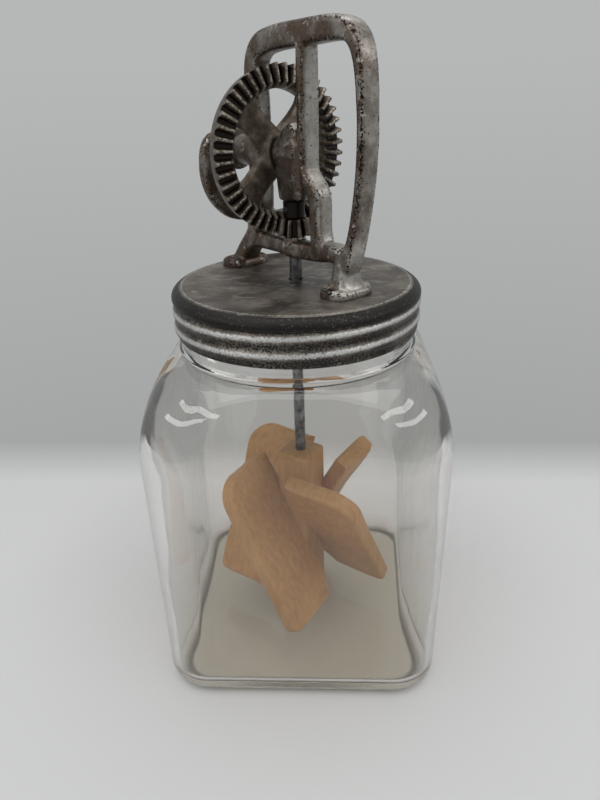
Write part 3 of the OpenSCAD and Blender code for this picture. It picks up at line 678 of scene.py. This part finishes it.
loop = bar(
    [
        [LEFT_FOOT + 1, 0, 2.6, POST, POST + 1.5],
        [LEFT_FOOT + 6, 0, CROSS_Z * 0.62, POST - 0.4, POST + 0.4],
        [LEFT_POST - 7, 0, CROSS_Z + 1, POST, POST],
        [LEFT_POST - 1.8, 0, CROSS_Z + 11, POST, POST],
        [LEFT_POST, 0, SHAFT_Z - 18, POST, POST],
        [LEFT_POST, 0, SHAFT_Z + 14, POST, POST],
        [LEFT_POST + 0.3, 0, BAR_Z - 12, POST, POST],
        [LEFT_POST + 5.5, 0, BAR_Z - 3, POST, POST],
        [LEFT_POST + 17, 0, BAR_Z, POST, POST],
        [MIDDLE_POST, 0, BAR_Z + 0.8, POST, POST],
        [ARM - 18, 0, BAR_Z + 1.05, POST - 0.4, POST],
        [ARM - 7.5, 0, BAR_Z - 2, STRAP + 1.6, STRAP_W],
        [ARM - 2.2, 0, BAR_Z - 12, STRAP + 0.6, STRAP_W],
        [ARM, 0, BAR_Z - 32, STRAP, STRAP_W],
        [ARM, 0, BAR_Z - 49, STRAP, STRAP_W],
        [ARM - 1.8, 0, CROSS_Z + 27, STRAP, STRAP_W],
        [ARM - 5, 0, CROSS_Z + 11, STRAP + 0.3, STRAP_W],
        [RIGHT_FOOT + 3.5, 0, CROSS_Z + 1, STRAP + 1.6, STRAP_W],
        [RIGHT_FOOT + 1, 0, CROSS_Z - 5, STRAP + 1.8, STRAP_W],
    ],
    power=4.2,
)
middle = bar(
    [
        [MIDDLE_POST, 0, BAR_Z, THIN, POST],
        [MIDDLE_POST, 0, BAR_Z - 20, THIN, POST + 0.4],
        [MIDDLE_POST, 0, SHAFT_Z - 4, THIN, POST + 0.4],
        [MIDDLE_POST + 1.6, 0, SHAFT_Z - 10, THIN + 0.5, POST + 0.4],
        [LOW_POST - 2.2, 0, SHAFT_Z - 16, THIN + 1.3, POST + 0.3],
        [LOW_POST - 0.6, 0, SHAFT_Z - 23, THIN + 1.3, POST + 0.3],
        [LOW_POST - 0.4, 0, CROSS_Z + 12, THIN + 1.3, POST + 0.2],
        [LOW_POST + 0.8, 0, CROSS_Z + 5, THIN + 2.1, POST],
        [LOW_POST + 2.4, 0, CROSS_Z, THIN + 3.1, POST - 0.6],
    ],
    power=3.2,
)
cross = bar(
    [
        [LEFT_POST - 6, 0, CROSS_Z, 4.6, 4.4],
        [LEFT_POST + 8, 0, CROSS_Z, 4.3, 4.4],
        [-9, 0, CROSS_Z, 4.4, 4.4],
        [0, 0, CROSS_Z, 4.6, 6.4],
        [9, 0, CROSS_Z, 4.6, 4.8],
        [LOW_POST, 0, CROSS_Z + 0.8, 4.6, 4.4],
        [(LOW_POST + RIGHT_FOOT) / 2, 0, CROSS_Z + 2.2, 4.6, 4.8],
        [RIGHT_FOOT - 1, 0, CROSS_Z + 1.6, 4.2, 5.2],
    ],
    power=3.4,
)
leg = bar(
    [
        [RIGHT_FOOT + 0.5, 0, CROSS_Z + 4, 4.6, STRAP_W - 0.5],
        [RIGHT_FOOT, 0, CROSS_Z - 3, 5, STRAP_W + 0.6],
        [RIGHT_FOOT, 0, CROSS_Z / 2 - 0.6, 5.6, STRAP_W + 1.8],
        [RIGHT_FOOT, 0, 2.6, 7.8, STRAP_W + 4],
    ],
    power=3.0,
)
ROD_BOSS = 6.5
BLOCK_D = 7.6
BLOCK_TOP = SHAFT_Z + 11
block_half = (MIDDLE_POST + ROD_BOSS) / 2
block_x = MIDDLE_POST - block_half
block = bar(
    [
        [block_x, 0, BOSS_UNDER + 0.6, block_half - 0.4, BLOCK_D - 1.4],
        [block_x, 0, BOSS_UNDER + 4.6, block_half, BLOCK_D - 1],
        [block_x, 0, SHAFT_Z - 8, block_half, BLOCK_D],
        [block_x + 0.4, 0, SHAFT_Z, block_half - 0.4, BLOCK_D],
        [block_x + 2, 0, BLOCK_TOP - 4, block_half - 2, BLOCK_D - 0.6],
        [block_x + 5, 0, BLOCK_TOP, block_half - 5, BLOCK_D - 1.8],
    ],
    power=4.5,
)


def foot(x):
    """A foot is a bar lying across the shaft that narrows and drops to a round toe at both ends."""
    reach = np.array([-1, -0.93, -0.72, -0.35, 0.35, 0.72, 0.93, 1])
    wide = np.array([0.32, 0.62, 0.9, 1, 1, 0.9, 0.62, 0.32])
    rows = np.c_[np.full(8, x), 13 * reach, np.full(8, 1.0), 8.5 * wide, 4.2 * (0.4 + 0.6 * wide)]
    return bar(rows, deep=(0, 0, 1))


bosses = [
    turned_x([[-6.9, 7.2], [-6.2, 8.0], [9.4, 8.0], [10.0, 7.4]], z=SHAFT_Z),
    turned_x([[HORN_END, 6.6], [HORN_END + 0.8, 7.2], [LEFT_POST, 8.5], [-15.8, 8.5]], z=SHAFT_Z),
]
upright = np.array([[0, 0, BOSS_UNDER, ROD_BOSS, ROD_BOSS], [0, 0, SHAFT_Z, ROD_BOSS, ROD_BOSS]])
seat = np.array([[0, 0, CROSS_Z, 5.6, 5.6], [0, 0, 22.6, 5.6, 5.6]])
bosses += [bar(upright, power=2.0), bar(seat, power=2.0)]
bars = [loop, middle, cross, leg, block, foot(LEFT_FOOT), foot(RIGHT_FOOT)] + bosses
casting_mesh = melted("iron_casting", [skin(on_lid(rings)) for rings in bars], 0.6, 3)

# %% [markdown]
# The feet stand flat on the lid, and their rivets sit in shallow dimples. Both are made on the
# finished skin, by moving its points: none may lie below the lid's top, and near a rivet they sink.

# %% Flat feet and rivet dimples
RIVET_PITCH = 18.0
spots = np.array([[x, side * RIVET_PITCH / 2, 0.0] for x in (LEFT_FOOT, RIGHT_FOOT) for side in (-1, 1)])
spots = on_lid(spots)
points = points_of(casting_mesh)[0]
away = np.linalg.norm(points[:, None, :2] - spots[None, :, :2], axis=2).min(1)
low = points[:, 2] < LID_TOP + 9
sink = 1.3 * np.clip((3.3 - away) / 0.9, 0, 1) * low
points[:, 2] = np.maximum(points[:, 2] - sink, LID_TOP + 0.02)
casting_mesh.vertices.foreach_set("co", np.ravel(points * MM))
casting_mesh.update()
casting = piece(casting_mesh, "lid_body", "cast_frame", cast_tin, "frame", sharp=180)

# %% [markdown]
# ## The bevel gear
# The big gear's teeth point along the shaft on a cone whose tip is where shaft and rod would meet.
# Round the gear the tooth height is a wave with flat tops and steep flanks. Along a tooth every
# size shrinks towards the tip of the cone. So the crown is again a surface of two parameters.

# %% Gear crown
GEAR_TEETH = 44
PINION_TEETH = 9
MODULE = 1.75
GEAR_R = GEAR_TEETH * MODULE / 2
PINION_R = PINION_TEETH * MODULE / 2
CONE = math.hypot(GEAR_R, PINION_R)
FACE = 8.2
INNER = 1 - FACE / CONE
TIP = 0.85 * MODULE
ROOT = 1.2 * MODULE
GEAR_BACK = -(PINION_R + ROOT + 5.4)
around = np.linspace(0, 2 * math.pi, GEAR_TEETH * 24, endpoint=False)


def tooth_wave(angle):
    """1 on a tooth's crest and 0 in the gap: distance from the tooth's middle, in pitches, run down
    a steep smooth slope between the crest's half width and the root's."""
    pitches = angle * GEAR_TEETH / (2 * math.pi)
    away = np.abs(pitches % 1 - 0.5)
    slope = np.clip((0.335 - away) / (0.335 - 0.105), 0, 1)
    return slope * slope * (3 - 2 * slope) * 0.5 + slope * 0.5


wave = tooth_wave(around)
rise = -ROOT + (TIP + ROOT) * wave


def crown_ring(share, lift):
    """Points of the toothed cone at a share of the way from its tip: the pitch circle, moved out
    along the cone's normal by the tooth's rise."""
    height = rise * lift
    radius = (GEAR_R + height * PINION_R / CONE) * share
    x = (-PINION_R + height * GEAR_R / CONE) * share
    return np.stack([x, radius * np.sin(around), -radius * np.cos(around)], -1)


def plain_ring(radius, x):
    """A plain circle with the crown's number of points."""
    return np.stack([np.full(len(around), x), radius * np.sin(around), -radius * np.cos(around)], -1)


rim_r = GEAR_R * INNER - 2.4
root_x = -(PINION_R + ROOT * GEAR_R / CONE)
shares = np.linspace(INNER + 0.008, 0.992, 8)
crown = [plain_ring(rim_r, GEAR_BACK + 0.6), plain_ring(rim_r, root_x * INNER - 1.0)]
crown += [crown_ring(INNER, 0.94)] + [crown_ring(share, 1.0) for share in shares] + [crown_ring(1.0, 0.95)]
crown += [plain_ring(GEAR_R - 0.7, root_x - 1.6), plain_ring(GEAR_R - 1.4, GEAR_BACK + 0.5)]
crown += [plain_ring(GEAR_R - 2.2, GEAR_BACK), plain_ring(rim_r + 0.6, GEAR_BACK)]
crown = np.array(crown) + [0, 0, SHAFT_Z]
crest = np.full(crown.shape[:2], 0.65)
crest[2:12] = wave
crown_mesh = mesh_of("gear_crown", [skin(on_lid(crown), loop=True)])
note(crown_mesh, "crest", crest)
gear_crown = piece(crown_mesh, "crank", "gear_iron", gear_iron, "drive_gear", sharp=50)

# %% [markdown]
# Four broad spokes join the crown to its hub. They swell at both ends, and what is left between
# them are the rounded windows. Hub and spokes are melted together as the casting was.

# %% Gear spokes and hub
web_x = GEAR_BACK + 3.3


def spoke(quarter):
    """A bar that runs out from the shaft: wide at the hub, slimmer half way, flared at the rim."""
    reach = np.array([3, 9, 13, 17.5, 23, 26.4, 28.6, 29.6])
    half = np.array([7.0, 7.6, 7.3, 7.0, 7.3, 8.6, 11.0, 14.5])
    turn = quarter * math.pi / 2 + math.pi / 4
    across, up = reach * math.sin(turn), SHAFT_Z - reach * math.cos(turn)
    rows = np.c_[np.full(8, web_x), across, up, np.full(8, 2.5), half]
    outward = (0, math.cos(turn), math.sin(turn))
    return bar(rows, deep=outward, power=3.2)


hub = turned_x([[GEAR_BACK, 8.6], [GEAR_BACK + 0.8, 9.5], [-8.8, 9.5], [-7.9, 8.6]], z=SHAFT_Z)
web_parts = [skin(on_lid(rings)) for rings in [spoke(quarter) for quarter in range(4)] + [hub]]
web_mesh = melted("gear_spokes", web_parts, 0.7, 6)
note(web_mesh, "crest", np.clip(0.62 + 0.5 * bend(web_mesh), 0.3, 0.8))
gear_spokes = piece(web_mesh, "crank", "gear_iron", gear_iron, "drive_gear", sharp=180)

# %% [markdown]
# ## The pinion
# The small gear on the rod has nine teeth with curved flanks. A tooth's half width at each radius
# follows the involute of a circle, the curve that a taut thread's end draws as it unwinds.

# %% Pinion
PRESSURE = math.radians(25)
PINION_TOP = 39.53
pinion_base = PINION_R * math.cos(PRESSURE)


def half_angle(radius):
    """Half the angle a tooth covers: its half width on the pitch circle, plus the involute angle
    there, less that at the radius. Below the base circle the flank spreads a little to its foot."""
    turn = np.arccos(np.clip(pinion_base / np.maximum(radius, pinion_base), -1, 1))
    spread = math.tan(PRESSURE) - PRESSURE - (np.tan(turn) - turn)
    return 0.42 * math.pi / PINION_TEETH + spread + np.radians(np.maximum(pinion_base - radius, 0))


radii = np.r_[PINION_R - ROOT, np.linspace(PINION_R - ROOT + 0.3, PINION_R + TIP - 0.3, 8), PINION_R + TIP]
flank = half_angle(radii)
tooth_r = np.r_[radii, radii[::-1]]
tooth_a = np.r_[-flank, flank[::-1]]
starts = math.pi + 2 * math.pi * np.arange(PINION_TEETH) / PINION_TEETH
ring_a = (starts[:, None] + tooth_a).ravel()
ring_r = np.tile(tooth_r, PINION_TEETH)


def pinion_ring(share, shrink=0.0):
    """The toothed outline at a share of the way from the cone's tip, drawn in by a small amount."""
    radius = ring_r * share - shrink
    height = np.full(len(ring_a), SHAFT_Z - GEAR_R * share)
    return np.stack([radius * np.cos(ring_a), radius * np.sin(ring_a), height], -1)


toothed = [pinion_ring(1.0, 0.35)] + [pinion_ring(share) for share in np.linspace(0.992, INNER + 0.01, 5)]
toothed += [pinion_ring(INNER, 0.3)]
small_end = SHAFT_Z - GEAR_R * INNER
collar_rows = [[small_end - 0.4, 3.5], [small_end + 0.9, 5.4], [PINION_TOP - 0.3, 5.5], [PINION_TOP, 5.2]]
lying = turned_x(collar_rows)
collar = np.stack([-lying[..., 2], lying[..., 1], lying[..., 0]], -1)
pinion_mesh = mesh_of("toothed_pinion", [skin(on_lid(np.array(toothed))), skin(on_lid(collar))])
tooth_crest = np.tile(np.clip((tooth_r - PINION_R + ROOT) / (TIP + ROOT), 0, 1), PINION_TEETH) * 0.85
note(pinion_mesh, "crest", np.r_[np.tile(tooth_crest, len(toothed)), np.full(collar.size // 3, 0.12)])
pinion = piece(pinion_mesh, "dasher", "gear_iron", gear_iron, "pinion", sharp=35)

# %% [markdown]
# ## Crank arm and knob
# The crank arm leaves its hub, sweeps round below it like a sickle and runs out past the lid to the
# knob. It is the same sort of casting as the frame, so the same bar and the same melting make it.

# %% Crank arm
HUB_X = -56.175
END_X = -77.0
END_Y = 48.18
END_Z = 7.99
sweep = np.radians(np.arange(150, 271, 30))
arm_x0 = HUB_X + 5.5
arm_x1 = END_X + 4.25
sickle_y, sickle_z = 8 + 23 * np.cos(sweep), SHAFT_Z - 9.5 + 23 * np.sin(sweep)
sickle = np.c_[arm_x0 - np.linspace(0, 2, 5), sickle_y, sickle_z, np.full(5, 6.7), np.full(5, 3.8)]
arm_rows = np.vstack(
    [
        [[arm_x0, 2, SHAFT_Z + 1, 6.1, 4.4]],
        sickle,
        [
            [arm_x0 + (arm_x1 - arm_x0) * 0.45, 22, SHAFT_Z - 34.9, 6.2, 3.8],
            [arm_x0 + (arm_x1 - arm_x0) * 0.85, END_Y - 12, END_Z + 10, 5.7, 3.8],
            [arm_x1, END_Y, END_Z, 5.5, 3.6],
        ],
    ]
)
arm_parts = [
    bar(arm_rows, deep=(1, 0, 0), power=2.8),
    turned_x([[HUB_X, 9.6], [HUB_X + 0.9, 10.5], [HUB_X + 10.1, 10.5], [HUB_X + 11, 9.6]], z=SHAFT_Z),
    turned_x([[END_X, 7.2], [END_X + 0.8, 8.0], [END_X + 7.7, 8.0], [END_X + 8.5, 7.2]], y=END_Y, z=END_Z),
]
arm_mesh = melted("sickle_arm", [skin(on_lid(rings)) for rings in arm_parts], 0.6, 3)
crank_arm = piece(arm_mesh, "crank", "cast_frame", cast_tin, "crank_arm", sharp=180)

# %% [markdown]
# The knob is turned wood with a full belly. Every section of it is round, so a curve of radii along
# the spindle is enough, and the bore leads back to where the curve began.

# %% Turned knob
KNOB_X = -102.4
KNOB_L = 25.0
along_knob = np.linspace(0, 1, 60)
belly = 0.72 + 0.28 * np.sin(math.pi * along_knob**0.8)
knob_r = 10.5 * belly - 0.9 * np.abs(2 * along_knob - 1) ** 12
knob_rows = np.c_[KNOB_X + KNOB_L * along_knob, knob_r]
bore = np.c_[[KNOB_X + KNOB_L, KNOB_X], [3.08, 3.08]]
knob = turned_x(np.vstack([knob_rows, bore]), y=END_Y, z=END_Z, sides=96)
knob_mesh = mesh_of("turned_knob", [skin(on_lid(knob), loop=True)])
crank_knob = piece(knob_mesh, "knob", "knob_wood", knob_wood, "crank_knob")

# %% [markdown]
# ## The dasher
# Four boards lean in a square wooden hub like the blades of a propeller. A board is an outline with
# two round outer corners, carried through its thickness and drawn in at both faces to ease its edges.

# %% Blades and hub
DASHER_TURN = LID_TURN + math.radians(17.6)
BLADE_LOW = 25.5
BLADE_H = 88.0
REACH = 49.5
LEAN = math.radians(29)
HUB_HALF = 10.5
slope_l = BLADE_H / math.cos(LEAN)


def board_outline(inset):
    """Outline of a board in its own plane: straight at the hub, with a large round corner at its
    outer top and a small one at its outer foot, drawn in by the inset."""
    arc = np.linspace(0, math.pi / 2, 20)
    left, right = HUB_HALF - 4 + inset, REACH - inset
    low, high = -slope_l / 2 + inset, slope_l / 2 - inset
    big, small = 15 - inset, 5 - inset
    foot_x, foot_y = right - small + small * np.sin(arc), low + small - small * np.cos(arc)
    top_x, top_y = right - big + big * np.cos(arc), high - big + big * np.sin(arc)
    along_top, along_low = np.linspace(right - big, left, 8)[1:], np.linspace(left, right - small, 8)[1:-1]
    x = np.r_[foot_x, top_x, along_top, np.full(6, left), along_low]
    y = np.r_[foot_y, top_y, np.full(7, high), np.linspace(high, low, 8)[1:-1], np.full(6, low)]
    return np.stack([x, y], -1)


def board(thick, ease):
    """The outline at each depth of the board: a quarter circle of radius ease rounds every edge."""
    angle = np.linspace(math.pi / 2, 0, 7)
    inset = ease * (1 - np.cos(angle))
    depth = thick / 2 - ease * (1 - np.sin(angle))
    levels = list(zip(inset, -depth)) + list(zip(inset[::-1], depth[::-1]))
    outlines = [(board_outline(drawn_in), level) for drawn_in, level in levels]
    return np.array([np.c_[flat, np.full(len(flat), level)] for flat, level in outlines])


def leaning(points):
    """Stands a board up and leans it: its length becomes height and run, its depth the reverse."""
    x, up, out = points[..., 0], points[..., 1], points[..., 2]
    c, s = math.cos(LEAN), math.sin(LEAN)
    return np.stack([x, -up * s - out * c, BLADE_LOW + BLADE_H / 2 + up * c - out * s], -1)


for i in range(4):
    shape = turned_z(leaning(board(9.4, 2.2)), DASHER_TURN + i * math.pi / 2)
    blade_mesh = mesh_of(f"blade_board_{i + 1}", [skin(shape)])
    piece(blade_mesh, "dasher", "dasher_wood", dasher_wood, f"dasher_blade_{i + 1}")

HUB_LOW = 21.0
HUB_TOP = 120.0
drawn = np.array([1.2, 0.4, 0.0])
above = np.array([0.0, 0.4, 1.2])
hub_half = HUB_HALF - np.r_[drawn, drawn[::-1]]
hub_height = np.r_[HUB_LOW + above, HUB_TOP - above[::-1]]
hub_rings = np.array([square_ring(half, 2.5, height) for half, height in zip(hub_half, hub_height)])
hub_mesh = mesh_of("hub_block", [skin(turned_z(hub_rings, DASHER_TURN))])
piece(hub_mesh, "dasher", "dasher_wood", dasher_wood, "dasher_hub")

# %% [markdown]
# ## Steel pieces
# Rod, shaft, spindle, washer, pins and rivets are plain turned steel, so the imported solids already
# have their shape, and only get their finish.

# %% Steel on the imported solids
steel_nodes = ["crank_shaft", "gear_pin", "crank_pin", "knob_spindle", "knob_washer"]
steel_nodes += ["dasher_rod", "pinion_pin", "dasher_pin"]
for name in steel_nodes + ["frame_rivets"]:
    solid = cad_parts[name]
    solid.data.materials.clear()
    solid.data.materials.append(dark_steel if name == "frame_rivets" else rod_steel)
print("steel pieces:", len(steel_nodes) + 1)

# %% [markdown]
# ## Floor, light and camera
# The churn stands on a sheet of pale paper, which fades out behind it into the grey of the room. A
# curved backdrop would do as well, but a flat sheet that turns clear at its back shows no fold.

# %% Paper floor
paper, tree, shader, place = finish("pale paper")
fill(tree, shader, {"Base Color": "#d6d6d6", "Roughness": 0.9})
back = add(tree, "SeparateXYZ", {0: place}).outputs["Y"]
clear = add(tree, "BsdfTransparent").outputs["BSDF"]
surface(tree, "Material Output", mapped(tree, back, 0.14, 0.21), shader.outputs["BSDF"], clear)
spread = np.linspace(-600, 600, 25)
sheet_x, sheet_y = np.meshgrid(spread, spread)
sheet_points = np.stack([sheet_x, sheet_y, np.full_like(sheet_x, -0.05)], -1).reshape(-1, 3)
cell = np.arange(625).reshape(25, 25)
sheet_faces = np.stack([cell[:-1, :-1], cell[:-1, 1:], cell[1:, 1:], cell[1:, :-1]], -1).reshape(-1, 4)
paper_mesh = mesh_of("paper_floor", [(sheet_points, [sheet_faces])])
paper_mesh.materials.append(paper)
paper_floor = bpy.data.objects.new("paper_floor", paper_mesh)
bpy.context.scene.collection.objects.link(paper_floor)
print(paper.name)

# %% [markdown]
# Three soft lamps light the churn: a broad one above, and a narrow one on each side that draws
# short bright lines on the jar's shoulders. The room is a pale grey, a little darker below. That
# colour is only for what is seen, straight, mirrored or through glass, and a weaker even glow lights
# the shadows. In an even room clear glass has hardly any outline. A photographer sets dark cards
# beside it, and here rays that leave the glass sideways find the room dark.

# %% Light
world = bpy.data.worlds.new("pale room")
bpy.context.scene.world = world
world.use_nodes = True
tree = world.node_tree
ray = add(tree, "LightPath").outputs
direct = reckon(tree, "MAXIMUM", ray["Is Camera Ray"], ray["Is Glossy Ray"])
seen = reckon(tree, "MAXIMUM", direct, ray["Is Transmission Ray"])
direction = add(tree, "SeparateXYZ", {0: add(tree, "TexCoord").outputs["Generated"]}).outputs
wall = tinted(tree, mapped(tree, direction["Z"], -0.5, 0.05), (0.0, "#a3a5a5"), (1.0, "#b6b8b8"))
beside = mapped(tree, reckon(tree, "ABSOLUTE", direction["X"]), 0.55, 0.75)
bent = reckon(tree, "MULTIPLY", beside, ray["Is Transmission Ray"])
room = add(tree, "Background", {"Color": blend(tree, bent, wall, "#565656"), "Strength": 1.0})
glow = add(tree, "Background", {"Color": "#f2f4f6", "Strength": 0.42})
surface(tree, "World Output", seen, glow.outputs["Background"], room.outputs["Background"])


def lamp(name, place, width, height, power):
    """A soft lamp that looks at the jar: its place, width and height in metres, its power in watts."""
    light = bpy.data.lights.new(name, "AREA")
    light.shape = "RECTANGLE"
    light.size = width
    light.size_y = height
    light.energy = power
    made = bpy.data.objects.new(name, light)
    made.location = place
    made.rotation_euler = (Vector((0, 0, 0.15)) - Vector(place)).to_track_quat("-Z", "Y").to_euler()
    bpy.context.scene.collection.objects.link(made)
    print(name, power, "watts")


lamp("soft lamp above", (0.0, 0.0, 1.2), 1.4, 1.2, 7.8)
lamp("soft lamp left", (-0.9, -0.5, 0.8), 1.2, 0.12, 2.5)
lamp("soft lamp right", (0.9, -0.4, 0.8), 1.2, 0.12, 2.5)

# %% [markdown]
# The camera stands close to the churn, a little above the lid, and looks down at it. Its place, lens
# and small tilt were fitted to the photograph.

# %% Camera
camera = bpy.data.objects.new("camera", bpy.data.cameras.new("camera"))
bpy.context.scene.collection.objects.link(camera)
camera.location = Vector((15.76, -314.92, 311.81)) * MM
aim = Vector((1.14, 0.05, 152.54)) * MM - camera.location
level = aim.to_track_quat("-Z", "Y")
camera.rotation_mode = "QUATERNION"
camera.rotation_quaternion = level @ Quaternion((0, 0, 1), math.radians(-1.455))
camera.data.lens = 27.42
camera.data.sensor_width = 36.0
camera.data.clip_start = 0.01
camera.data.shift_x = -0.0015
bpy.context.scene.camera = camera
bpy.context.scene.view_settings.view_transform = "Standard"
print("camera at", tuple(camera.location))
